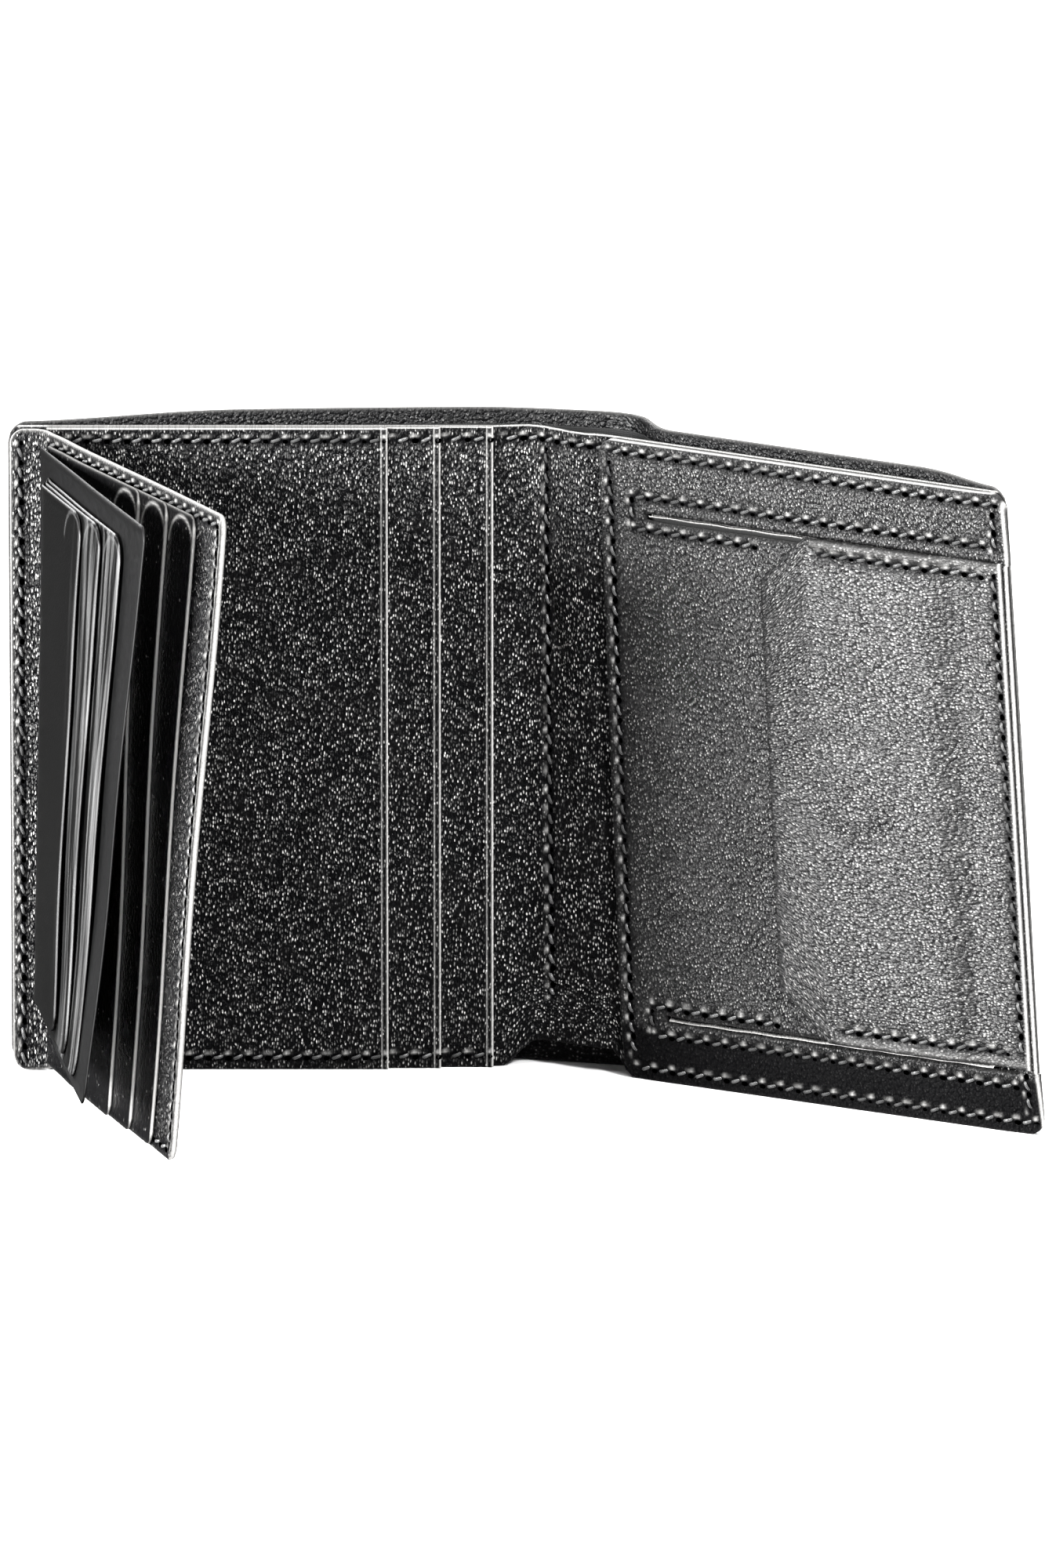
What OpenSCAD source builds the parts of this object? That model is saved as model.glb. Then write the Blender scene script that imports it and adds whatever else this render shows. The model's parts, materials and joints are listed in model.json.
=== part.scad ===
// Trifold wallet in black leather, standing open on its bottom edge.
// Three folding sections: a main panel with card pockets, a spine and a coin panel.
// A short card leaf and a clear sleeve page are hinged at the main panel's left edge.
// Behind the inner panels one bill compartment runs the whole width, open at the top.
//
// Each panel is drawn in its own flat frame: x runs along the panel, z up, and -y is
// the depth t in front of the middle of the cover. The on_...() modules put it in place.

/* [Panels] */
// Width of the main panel
main_w = 72; // [70:0.5:76]
// Distance between the spine's two folds
spine_w = 18; // [18:0.5:20]
// Width of the coin panel
coin_w = 70.5; // [70:0.5:74]
// Height of the outer cover
cover_h = 99; // [97:0.5:103]
// Height of the inner panels
inner_h = 97.5; // [96:0.5:97.5]
// Radius of the outer corners
corner_r = 3; // [1:0.5:5]

/* [Open angles] */
// Angle of the fold between the main panel and the spine
main_fold = 16; // [0:1:30]
// Angle of the fold between the spine and the coin panel
coin_fold = 16; // [0:1:30]
// Angle of the card leaf from the main panel
leaf_angle = 70; // [20:1:85]
// Angle of the sleeve page from the leaf
sleeve_spread = 8; // [4:0.5:12]

/* [Layers] */
// Thickness of the cover leather with its turned edges
cover_t = 1; // [0.8:0.1:1]
// Depth of the bill compartment
bill_gap = 4.3; // [4.3:0.1:4.5]
// Depth of the bill compartment behind the coin panel
coin_bill_gap = 1.4; // [1:0.1:2]
// Thickness of the inner panel leather
inner_t = 0.7; // [0.6:0.05:0.7]
// Thickness of one card pocket leather
pocket_t = 0.6; // [0.5:0.05:0.6]
// Thickness of the lining cloth
lining_t = 0.2; // [0.15:0.05:0.25]
// Thickness of the stiffening board
board_t = 0.3; // [0.2:0.1:0.3]

/* [Card pockets] */
// Distance from the left edge to the mouth of the front pocket
front_mouth = 56; // [50:0.5:58]
// Step from one pocket mouth to the next
mouth_step = 7.8; // [6:0.1:7.8]

/* [Leaf] */
// Width of the hinge strip at the main panel's left edge
flange_w = 5.9; // [5:0.1:6.5]
// Length of the leaf from its hinge
leaf_w = 64; // [58:0.5:64]
// Height of the leaf's lower edge above the bottom edge
leaf_z = 2; // [1:0.5:4]
// Distance from the hinge to the mouth of the leaf's front pocket
leaf_mouth = 37.8; // [34:0.1:38]
// Step from one leaf pocket mouth to the next
leaf_step = 8.9; // [7:0.1:9]
// Length of the sleeve page from the hinge
sleeve_w = 60; // [54:0.5:60]

/* [Coin pocket] */
// Height of the plain border above and below the coin pocket
border_h = 9.6; // [8:0.1:10]
// Width of the slit that opens the pocket's pleat
slit_w = 1.2; // [0.8:0.1:1.6]
// Distance from the fold to the mouth of the coin pocket
coin_mouth = 58; // [54:0.5:60]
// Distance from the fold to the free edge of the flap
flap_start = 28; // [24:0.5:32]
// Length of the flap's cut corners along the flap
flap_cut_u = 8; // [5:0.5:10]
// Height of the flap's cut corners
flap_cut_v = 7.5; // [5:0.5:10]
// Distance from the fold to the snap's centre
snap_u = 43; // [40:0.5:46]
// Diameter of the snap cap
snap_d = 12; // [10:0.5:13]

/* [Stitching] */
// Distance from one stitch to the next
stitch_pitch = 3; // [2.5:0.1:4]
// Length of one stitch
stitch_l = 2.1; // [1.5:0.1:2.3]
// Width of the thread
thread_w = 0.4; // [0.3:0.05:0.5]

/* [Hidden] */
$fn = 48;

black = [0.07, 0.07, 0.07];
dark_grey = [0.14, 0.14, 0.15];
clear_grey = [0.6, 0.62, 0.65, 0.4];

fold_gap = 0.3;       // from a panel's end to the fold
edge_wall = 1.2;      // where the cover's edge turns in to meet the inner panel
skin_gap = 0.05;      // between stacked pocket leathers
seam = 1.9;           // from an edge to its row of stitches
thread_t = 0.2;       // how far a stitch stands proud
lining_drop = 3;      // from the cover's head to the head of its lining
lining_end = 1;       // from a fold to the end of a lining
board_end = 1.5;      // from a panel's end to the end of its board
pocket_inset = 0.4;   // from the inner panel's edges to the card pockets' edges
row_end = 4;          // from the head or foot to the end of an upright row
spine_notch = 4;      // from the foot to the inner panel's edge over the spine

// Depths t in front of the cover's middle
bill_front = cover_t / 2 + lining_t;
bill_back = bill_front + bill_gap;
inner_front = bill_back + board_t + inner_t;
pocket_pitch = pocket_t + skin_gap;
pocket_front = inner_front + 3 * pocket_pitch;
main_axis_t = inner_front + 0.2;
coin_back = bill_back - coin_bill_gap - lining_t - cover_t;
coin_inner_front = inner_front + 1;
coin_front = inner_front + 2.9;
coin_axis_t = coin_front + 0.3;

// Leaf, measured from its own axis
leaf_axis_t = pocket_front + 1.45;
strip_t = 0.6;        // the strip that the leaf is sewn down by
hinge_r = 0.7;        // the rounded edge that the leaf turns on
leaf_back = -1;
leaf_skin = 0.8;
leaf_pocket_t = 0.35;
leaf_front = 1;
leaf_h = inner_h - leaf_z;
leaf_foot = 4;        // where the leaf pockets start
sleeve_back = leaf_front + 0.5;
film_t = 0.15;
sleeve_z = 6;
sleeve_h = 90;
sleeve_foot = 3;      // where the sleeve page starts
sleeve_mouth = 33;

// Coin pocket
pocket_low = border_h + slit_w;
pocket_high = inner_h - border_h - slit_w;
pocket_end = 4;       // where the pocket's inside starts
pocket_lining_t = 0.15;
pleat_t = 0.4;
pleat_foot_t = 0.45;
flap_axis_u = 66.8;
flap_back = coin_front + 0.6;
flap_lining_t = 0.3;
flap_skin = 0.6;
flap_middle = flap_back + flap_lining_t;
flap_top_t = flap_middle + flap_skin;
flap_low = border_h + 0.8;
flap_high = inner_h - flap_low;
border_side_w = 3.3;
side_front = coin_front - 0.9;
snap_v = inner_h / 2;
stud_d = 9;
stud_t = 0.3;
post_d = 3.4;
socket_d = 10.5;

// ---- Where each body stands ----

module on_main()
    translate([-main_w / 2, 0, 0])
        children();

module on_spine()
    translate([main_w / 2, -main_axis_t, 0])
        rotate([0, 0, -main_fold])
            translate([0, main_axis_t, 0])
                children();

module on_coin()
    on_spine()
        translate([spine_w, -coin_axis_t, 0])
            rotate([0, 0, -coin_fold])
                translate([0, coin_axis_t, 0])
                    children();

module on_leaf()
    on_main()
        translate([flange_w, -leaf_axis_t, 0])
            rotate([0, 0, -leaf_angle])
                children();

module on_sleeve()
    on_main()
        translate([flange_w, -leaf_axis_t, 0])
            rotate([0, 0, -leaf_angle - sleeve_spread])
                children();

// ---- Shared shapes ----

// A flat outline from u0 to u1 and v0 to v1, with rounded left or right corners
module outline(u0, u1, v0, v1, left_r = 0, right_r = 0)
    difference() {
        translate([u0, v0])
            square([u1 - u0, v1 - v0]);
        for (end = [[u0, 1, left_r], [u1, -1, right_r]])
            for (side = [[v0, 1], [v1, -1]])
                if (end[2] > 0)
                    translate([end[0], side[0]])
                        corner_waste(end[1], side[1], end[2]);
    }

// The waste outside a rounded corner of radius r, in the quarter given by sx and sy
module corner_waste(sx, sy, r)
    difference() {
        translate([sx > 0 ? -1 : -r, sy > 0 ? -1 : -r])
            square(r + 1);
        translate([sx * r, sy * r])
            circle(r);
    }

// Gives a flat outline the depth from t0 to t1
module layer(t0, t1)
    translate([0, -t0, 0])
        rotate([90, 0, 0])
            linear_extrude(t1 - t0)
                children();

module slab(u0, u1, v0, v1, t0, t1)
    translate([u0, -t1, v0])
        cube([u1 - u0, t1 - t0, v1 - v0]);

// A disc of diameter d at (u, v), with an optional hole
module disc(u, v, t0, t1, d, hole = 0)
    layer(t0, t1)
        translate([u, v])
            difference() {
                circle(d / 2);
                if (hole > 0) circle(hole / 2);
            }

// A row of stitches on the surface at depth t, from one point to another
module stitches(from, to, t)
{
    run = to - from;
    count = floor(norm(run) / stitch_pitch) + 1;
    angle = atan2(run[1], run[0]);
    start = (norm(run) - (count - 1) * stitch_pitch) / 2;
    for (i = [0:count - 1])
        translate([from[0], -t - thread_t / 2, from[1]])
            rotate([0, -angle, 0])
                translate([start + i * stitch_pitch, 0, 0])
                    cube([stitch_l, thread_t, thread_w], center = true);
}

// A leather card pocket of the main panel: step 0 is the backmost
module card_pocket(step)
    color(black)
        on_main()
            slab(flange_w + pocket_inset, front_mouth + (2 - step) * mouth_step,
                pocket_inset, inner_h - pocket_inset,
                inner_front + step * pocket_pitch + (step == 0 ? 0 : skin_gap / 2),
                inner_front + (step + 1) * pocket_pitch - skin_gap / 2);

module leaf_pocket(step)
    color(black)
        on_leaf()
            slab(leaf_foot, leaf_mouth + (2 - step) * leaf_step, leaf_z + 0.5, inner_h - 1,
                leaf_back + leaf_skin + 0.05 + step * (leaf_pocket_t + skin_gap),
                leaf_back + leaf_skin + 0.05 + step * (leaf_pocket_t + skin_gap) + leaf_pocket_t);

module sleeve_window(step)
    color(clear_grey)
        on_sleeve()
            slab(sleeve_foot + 0.5, sleeve_mouth + (2 - step) * leaf_step, sleeve_z + 1,
                sleeve_z + sleeve_h - 1,
                sleeve_back + (step + 1) * film_t, sleeve_back + (step + 2) * film_t);

// The bill lining, the board and the inner panel of any section are plain sheets
module sheet(u0, u1, v0, v1, t0, t1, shade)
    color(shade)
        slab(u0, u1, v0, v1, t0, t1);

// ---- Main panel ----

module cover_main()
    color(black)
        on_main()
            union() {
                layer(-cover_t / 2, cover_t / 2)
                    outline(0, main_w - fold_gap, 0, cover_h, left_r = corner_r);
                slab(0, edge_wall, corner_r, inner_h, cover_t / 2, bill_back + board_t);
                slab(corner_r, main_w - fold_gap, 0, edge_wall, cover_t / 2, bill_back + board_t);
            }

module bill_lining_main()
    on_main()
        sheet(edge_wall, main_w - lining_end, edge_wall, cover_h - lining_drop, cover_t / 2, bill_front, dark_grey);

module stiffener_main()
    on_main()
        sheet(edge_wall, main_w - board_end, edge_wall, inner_h - board_end, bill_back, bill_back + board_t,
            dark_grey);

module inner_panel_main()
    color(black)
        on_main()
            layer(bill_back + board_t, inner_front)
                outline(0, main_w - fold_gap, 0, inner_h, left_r = corner_r);

module card_pocket_back() card_pocket(0);
module card_pocket_middle() card_pocket(1);
module card_pocket_front() card_pocket(2);

// The strip that is sewn down, and the ridge that the leaf turns on
module leaf_hinge_strip()
    color(black)
        on_main()
            union() {
                slab(0.5, flange_w - 0.7, 1.5, inner_h - 1.5, inner_front, inner_front + strip_t);
                slab(flange_w - 1.5, flange_w - 0.7, 1.5, inner_h - 1.5,
                    inner_front + strip_t, leaf_axis_t - hinge_r - 0.1);
            }

module main_stitching()
    color(dark_grey)
        on_main() {
            for (v = [seam, inner_h - seam]) {
                stitches([flange_w + 1.5, v], [front_mouth - 1, v], pocket_front - skin_gap / 2);
                for (step = [1, 2])
                    stitches([front_mouth + (step - 1) * mouth_step + 1.2, v],
                        [front_mouth + step * mouth_step - 1.2, v],
                        pocket_front - step * pocket_pitch - skin_gap / 2);
            }
            stitches([seam, row_end], [seam, inner_h - row_end], inner_front + strip_t);
        }

// ---- Spine ----

module cover_spine()
    color(black)
        on_spine()
            slab(fold_gap, spine_w - fold_gap, 0, cover_h, -cover_t / 2, cover_t / 2);

module bill_lining_spine()
    on_spine()
        sheet(lining_end, spine_w - lining_end, edge_wall, cover_h - lining_drop, cover_t / 2, bill_front, dark_grey);

module inner_panel_spine()
    color(black)
        on_spine()
            slab(fold_gap, spine_w - fold_gap, spine_notch, inner_h, bill_back + board_t, inner_front);

// ---- Coin panel ----

module cover_coin()
    color(black)
        on_coin()
            union() {
                layer(coin_back, coin_back + cover_t)
                    outline(fold_gap, coin_w, 0, cover_h, right_r = corner_r);
                slab(coin_w - edge_wall, coin_w, corner_r, inner_h, coin_back + cover_t,
                    bill_back);
                slab(fold_gap, coin_w - corner_r, 0, edge_wall, coin_back + cover_t, bill_back);
            }

module bill_lining_coin()
    on_coin()
        sheet(lining_end, coin_w - edge_wall, edge_wall, cover_h - lining_drop, coin_back + cover_t,
            coin_back + cover_t + lining_t, dark_grey);

module bill_divider_coin()
    color(dark_grey)
        on_coin()
            layer(bill_back, bill_back + board_t)
                outline(fold_gap, coin_w, 0, inner_h, right_r = corner_r);

module stiffener_coin()
    on_coin()
        sheet(board_end, coin_w - board_end, board_end, inner_h - board_end, bill_back + board_t,
            coin_inner_front - inner_t, dark_grey);

module inner_panel_coin()
    color(black)
        on_coin()
            layer(coin_inner_front - inner_t, coin_inner_front)
                outline(1, coin_w, 0, inner_h, right_r = corner_r);

module coin_pocket_lining()
    on_coin()
        sheet(pocket_end, coin_w - border_side_w - 1, pocket_low + 1, pocket_high - 1, coin_inner_front,
            coin_inner_front + pocket_lining_t, dark_grey);

module coin_border(v0, v1)
    color(black)
        on_coin()
            layer(coin_inner_front, coin_front - 0.2)
                intersection() {
                    outline(1, coin_w, 0, inner_h, right_r = corner_r);
                    translate([1, v0])
                        square([coin_w - border_side_w - 1, v1 - v0]);
                }

module coin_border_top() coin_border(inner_h - border_h, inner_h);
module coin_border_bottom() coin_border(0, border_h);

// The lower strip at the outer edge, which the flap folds over
module coin_border_side()
    color(black)
        on_coin()
            layer(coin_inner_front, side_front)
                intersection() {
                    outline(1, coin_w, 0, inner_h, right_r = corner_r);
                    translate([coin_w - border_side_w, 0])
                        square([border_side_w, inner_h]);
                }

module coin_pocket_wall()
    color(dark_grey)
        on_coin()
            slab(1, 3, pocket_low, pocket_high, coin_inner_front, coin_front - inner_t);

// A strip of the pleat: a foot beside the border and a wall under the pocket front's edge
module coin_gusset(v_wall, v_foot)
    color(dark_grey)
        on_coin()
            union() {
                slab(pocket_end, coin_mouth, min(v_wall, v_foot), max(v_wall, v_foot) + pleat_t,
                    coin_inner_front + pocket_lining_t, coin_inner_front + pleat_foot_t);
                slab(pocket_end, coin_mouth, v_wall, v_wall + pleat_t, coin_inner_front + pleat_foot_t,
                    coin_front - inner_t);
            }

module coin_gusset_top() coin_gusset(pocket_high - 0.6, pocket_high + slit_w - 0.5);
module coin_gusset_bottom() coin_gusset(pocket_low + 0.2, pocket_low - slit_w + 0.1);

module coin_pocket_front()
    color(black)
        on_coin()
            slab(1, coin_mouth, pocket_low, pocket_high, coin_front - inner_t, coin_front);

module coin_border_stitching()
    color(dark_grey)
        on_coin() {
            for (v = [seam, inner_h - seam])
                stitches([2, v], [coin_w - border_side_w - 0.5, v], coin_front - 0.2);
            for (v = [border_h - 1.6, inner_h - border_h + 1.6])
                stitches([6, v], [coin_w - border_side_w - 1, v], coin_front - 0.2);
            stitches([coin_w - seam, row_end], [coin_w - seam, inner_h - row_end], side_front);
        }

module coin_pocket_stitching()
    color(dark_grey)
        on_coin() {
            for (v = [pocket_low + 1.4, pocket_high - 1.4])
                stitches([6, v], [flap_start - 1, v], coin_front);
            stitches([2.2, pocket_low + 2], [2.2, pocket_high - 2], coin_front);
        }

// ---- Snap fastener ----

module snap_stud()
    color(dark_grey)
        on_coin()
            union() {
                disc(snap_u, snap_v, coin_front, coin_front + stud_t, stud_d);
                disc(snap_u, snap_v, coin_front + stud_t, flap_back + 0.25, post_d);
            }

module snap_stud_plate()
    color(dark_grey)
        on_coin()
            disc(snap_u, snap_v, coin_front - inner_t - stud_t, coin_front - inner_t, stud_d);

module snap_socket()
    color(dark_grey)
        on_coin()
            disc(snap_u, snap_v, flap_back - 0.2, flap_middle, socket_d - 0.1,
                hole = post_d + 0.8);

module snap_cap()
    color(dark_grey)
        on_coin()
            disc(snap_u, snap_v, flap_middle, flap_middle + stud_t, snap_d);

// ---- Coin flap ----

module flap_outline(inset = 0)
    difference() {
        translate([flap_start + inset, flap_low + inset])
            square([flap_axis_u - 0.3 - flap_start - inset, flap_high - flap_low - 2 * inset]);
        for (side = [[flap_low, 1], [flap_high, -1]])
            polygon([[flap_start - 1, side[0] - side[1]],
                [flap_start - 1, side[0] + side[1] * (flap_cut_v + inset)],
                [flap_start, side[0] + side[1] * (flap_cut_v + inset)],
                [flap_start + flap_cut_u + inset, side[0]],
                [flap_start + flap_cut_u + inset, side[0] - side[1]]]);
    }

module coin_flap_outer()
    color(black)
        difference() {
            on_coin()
                layer(flap_middle, flap_top_t)
                    flap_outline();
            on_coin()
                disc(snap_u, snap_v, flap_back, flap_middle + stud_t, snap_d + 0.1);
        }

module coin_flap_lining()
    color(dark_grey)
        on_coin()
            layer(flap_back, flap_middle)
                difference() {
                    flap_outline(inset = 0.6);
                    translate([snap_u, snap_v])
                        circle(socket_d / 2);
                }

module coin_flap_stitching()
    color(dark_grey)
        on_coin()
            for (v = [flap_low + 1.4, flap_high - 1.4])
                stitches([flap_start + flap_cut_u + 1, v], [flap_axis_u - 2, v], flap_top_t);

// ---- Card leaf ----

module leaf_backing()
    color(black)
        on_leaf()
            union() {
                layer(leaf_back, leaf_back + leaf_skin)
                    outline(0, leaf_w, leaf_z, leaf_z + leaf_h, right_r = corner_r);
                translate([0, 0, leaf_z])
                    cylinder(h = leaf_h, r = hinge_r);
            }

module leaf_pocket_back() leaf_pocket(0);
module leaf_pocket_middle() leaf_pocket(1);
module leaf_pocket_front() leaf_pocket(2);

module leaf_stitching()
    color(dark_grey)
        on_leaf()
            stitches([leaf_w - seam, leaf_z + row_end], [leaf_w - seam, inner_h - row_end],
                leaf_back + leaf_skin);

// ---- Clear sleeve page ----

module sleeve_film()
    color(clear_grey)
        on_sleeve()
            layer(sleeve_back, sleeve_back + film_t)
                outline(sleeve_foot, sleeve_w, sleeve_z, sleeve_z + sleeve_h, right_r = corner_r);

module sleeve_window_back() sleeve_window(0);
module sleeve_window_middle() sleeve_window(1);
module sleeve_window_front() sleeve_window(2);

cover_main();
bill_lining_main();
stiffener_main();
inner_panel_main();
card_pocket_back();
card_pocket_middle();
card_pocket_front();
leaf_hinge_strip();
main_stitching();
cover_spine();
bill_lining_spine();
inner_panel_spine();
cover_coin();
bill_lining_coin();
stiffener_coin();
bill_divider_coin();
inner_panel_coin();
coin_pocket_lining();
coin_border_top();
coin_border_bottom();
coin_border_side();
coin_pocket_wall();
coin_gusset_top();
coin_gusset_bottom();
coin_pocket_front();
snap_stud();
snap_stud_plate();
coin_border_stitching();
coin_pocket_stitching();
coin_flap_outer();
coin_flap_lining();
snap_socket();
snap_cap();
coin_flap_stitching();
leaf_backing();
leaf_pocket_back();
leaf_pocket_middle();
leaf_pocket_front();
leaf_stitching();
sleeve_film();
sleeve_window_back();
sleeve_window_middle();
sleeve_window_front();
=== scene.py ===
import json
import math

import bpy
import numpy as np
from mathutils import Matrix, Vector


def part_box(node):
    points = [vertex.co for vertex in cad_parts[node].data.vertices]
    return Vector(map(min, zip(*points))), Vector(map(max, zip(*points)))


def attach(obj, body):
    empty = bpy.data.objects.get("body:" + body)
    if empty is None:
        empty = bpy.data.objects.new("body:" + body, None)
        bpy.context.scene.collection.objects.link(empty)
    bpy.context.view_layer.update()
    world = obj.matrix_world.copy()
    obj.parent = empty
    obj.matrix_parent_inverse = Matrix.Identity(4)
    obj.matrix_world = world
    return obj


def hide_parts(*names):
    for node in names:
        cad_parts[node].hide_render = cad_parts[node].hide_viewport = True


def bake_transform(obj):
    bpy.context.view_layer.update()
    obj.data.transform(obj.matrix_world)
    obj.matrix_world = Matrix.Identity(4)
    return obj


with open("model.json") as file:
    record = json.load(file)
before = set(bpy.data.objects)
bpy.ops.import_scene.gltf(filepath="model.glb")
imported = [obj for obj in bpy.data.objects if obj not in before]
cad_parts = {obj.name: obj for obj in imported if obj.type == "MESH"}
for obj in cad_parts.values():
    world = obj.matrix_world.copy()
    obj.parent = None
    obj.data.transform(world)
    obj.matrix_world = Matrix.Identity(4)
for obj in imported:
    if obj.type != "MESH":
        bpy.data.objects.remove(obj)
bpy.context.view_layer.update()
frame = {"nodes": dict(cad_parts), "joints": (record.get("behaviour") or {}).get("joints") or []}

MM = 0.001
nodes = frame["nodes"]
joints = {j["name"]: j for j in frame["joints"]}

# ---------------------------------------------------------------- measures
# Shapes are in millimetres until they become meshes. s runs along the opened wallet from the
# main panel's left edge, v is the height, and t is the depth in front of the XZ plane, or of the
# same plane carried round the folds. u is s measured from the coin panel's fold.


def smooth(x):
    x = np.clip(x, 0, 1)
    return x * x * (3 - 2 * x)


def bump(x, at, width):
    return np.exp(-(((x - at) / width) ** 2))


def low(node):
    return np.array(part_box(node)[0]) / MM


def high(node):
    return np.array(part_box(node)[1]) / MM


def axis_of(joint):
    return np.array(joints[joint]["pos_m"][:2]) / MM


def heading(node):
    """The direction of a flat node's width in plan: its angle in front of the X axis."""
    co = np.array([v.co for v in nodes[node].data.vertices])[:, :2]
    co = co - co.mean(0)
    d = np.linalg.eigh(co.T @ co)[1][:, 1]
    d = d if d[0] > 0 else -d
    return math.atan2(-d[1], d[0])


def along(a):
    return np.stack([np.cos(a), -np.sin(a)], -1)


def forward(a):
    return np.stack([-np.sin(a), -np.cos(a)], -1)


X0 = low("cover_main")[0]
COVER_H = high("cover_main")[2]
INNER_H = high("inner_panel_main")[2]
FOLD1 = axis_of("spine_fold")
FOLD2 = axis_of("coin_panel_fold")
LEAF_AXIS = axis_of("leaf_hinge")
SPINE_ANGLE = heading("cover_spine")
COIN_ANGLE = heading("inner_panel_coin")
LEAF_ANGLE = heading("leaf_pocket_back")
SLEEVE_ANGLE = heading("sleeve_window_back")

T1 = -FOLD1[1]
S1 = FOLD1[0] - X0
STEP = FOLD2 - FOLD1
S2 = S1 + float(STEP @ along(SPINE_ANGLE))
T2 = T1 + float(STEP @ forward(SPINE_ANGLE))
COIN_W = 70.5
S3 = S2 + COIN_W
MID = (S1 + S2) / 2

PANEL_FRONT = -low("inner_panel_main")[1]
POCKET_FRONT = -low("card_pocket_front")[1]
LAYER = (POCKET_FRONT - PANEL_FRONT) / 3
BORDER_FRONT = 8.6
TONGUE_FRONT = 8.9

# The real wallet's coin panel twists: it opens a little wider at its foot than at its
# head, and its fold leans. The same holds for the leaf and the sleeve page.
COIN_TWIST = math.radians(2.0)
COIN_LEAN = 1.9
LEAF_TWIST = math.radians(3.9)
LEAF_EASE = math.radians(1.1)
SLEEVE_TWIST = math.radians(5.3)
FOLD1_W = 10.0
FOLD2_W = 5.0

TABLE_STEP = 0.1
TABLE_S = np.arange(-4.0, 170.0, TABLE_STEP)


def plan_table(angle):
    """The wallet's plan when the coin panel has this angle: its direction and its place at each s."""
    second = (angle - SPINE_ANGLE) * smooth((TABLE_S - S2) / FOLD2_W + 0.5)
    a = SPINE_ANGLE * smooth((TABLE_S - S1) / FOLD1_W + 0.5) + second
    rate = 1 + (T2 - T1) * np.gradient(second, TABLE_S)
    d = along(a) * rate[:, None]
    c = np.zeros((len(TABLE_S), 2))
    c[1:] = np.cumsum((d[1:] + d[:-1]) / 2 * TABLE_STEP, axis=0)
    start = np.array([np.interp(0, TABLE_S, c[:, 0]), np.interp(0, TABLE_S, c[:, 1])])
    return a, c - start + np.array([X0, -T1])


PLANS = [plan_table(COIN_ANGLE + k * COIN_TWIST) for k in (-1, 0, 1)]


def arrays(*values):
    return np.broadcast_arrays(*(np.asarray(x, float) for x in values))


def place(s, v, t):
    """A point of the opened wallet, on the frame's axes."""
    s, v, t = arrays(s, v, t)
    k = 2 * v / INNER_H - 1
    weights = (k * (k - 1) / 2, 1 - k * k, k * (k + 1) / 2)
    a = x = y = 0
    for w, (pa, pc) in zip(weights, PLANS):
        a = a + w * np.interp(s, TABLE_S, pa)
        x = x + w * np.interp(s, TABLE_S, pc[:, 0])
        y = y + w * np.interp(s, TABLE_S, pc[:, 1])
    n = forward(a)
    lean = -COIN_LEAN * k * smooth((s - S1 - 2) / (S2 - S1 - 3))
    return np.stack([x + n[..., 0] * (t - T1) + lean, y + n[..., 1] * (t - T1), v], -1)


def on_coin(u, v, t):
    return place(S2 + np.asarray(u, float), v, t)


def hinged(angle, twist):
    """Where a point is on a page that stands out from the leaf's hinge: r from the hinge, v up,
    and n in front of the page's middle."""

    def put(r, v, n):
        r, v, n = arrays(r, v, n)
        a = angle - twist * (2 * v / INNER_H - 1)
        d, f = along(a), forward(a)
        x = LEAF_AXIS[0] + d[..., 0] * r + f[..., 0] * n
        y = LEAF_AXIS[1] + d[..., 1] * r + f[..., 1] * n
        return np.stack([x, y, v], -1)

    return put


on_flat_leaf = hinged(LEAF_ANGLE, 0.0)
on_leaf = hinged(LEAF_ANGLE - LEAF_EASE, LEAF_TWIST)
on_sleeve = hinged(SLEEVE_ANGLE, SLEEVE_TWIST)

# ---------------------------------------------------------------- meshes
PITCH = 3.0  # from one stitch to the next
STITCH = 0.85  # half the length of a stitch
THREAD = 0.25  # the thread's radius
SLANT = 0.32
HOLE = (0.42, 0.32)  # half the length and half the width of a needle hole


def grid(a, b, step, fine=(), ends=True):
    """Grid lines from a to b, closer together at the ends and beside each place in fine."""
    n = max(2, int(round((b - a) / step)) + 1)
    rough = list(np.linspace(a, b, n))
    near = []
    if ends:
        for d in (0.0, 0.06, 0.16, 0.32, 0.55, 0.85):
            near += [a + d, b - d]
    for f in fine:
        for d in (0.0, 0.14, 0.3, 0.5, 0.8):
            near += [f - d, f + d]
    near = sorted(x for x in near if a <= x <= b)
    keep = [a]
    for x in sorted(near + [r for r in rough if all(abs(r - y) > 0.22 for y in near)]):
        if x - keep[-1] > 0.05:
            keep.append(x)
    keep[-1] = b
    return np.array(keep)


def build(name, points, faces, flat, material, edge=None, calm=None):
    mesh = bpy.data.meshes.new(name)
    points = np.asarray(points, float) * MM
    mesh.from_pydata(points.tolist(), [], faces)
    layer = mesh.uv_layers.new(name="Flat")
    loops = np.zeros(len(mesh.loops), np.int64)
    mesh.loops.foreach_get("vertex_index", loops)
    layer.data.foreach_set("uv", np.asarray(flat, np.float32)[loops].ravel())
    for title, values in (("edge", edge), ("calm", calm)):
        if values is not None:
            attribute = mesh.attributes.new(title, "FLOAT", "POINT")
            attribute.data.foreach_set("value", np.asarray(values, np.float32))
    mesh.polygons.foreach_set("use_smooth", [True] * len(mesh.polygons))
    mesh.set_sharp_from_angle(angle=math.radians(58))
    mesh.materials.append(material)
    piece = bpy.data.objects.new(name, mesh)
    bpy.context.scene.collection.objects.link(piece)
    return piece


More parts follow.
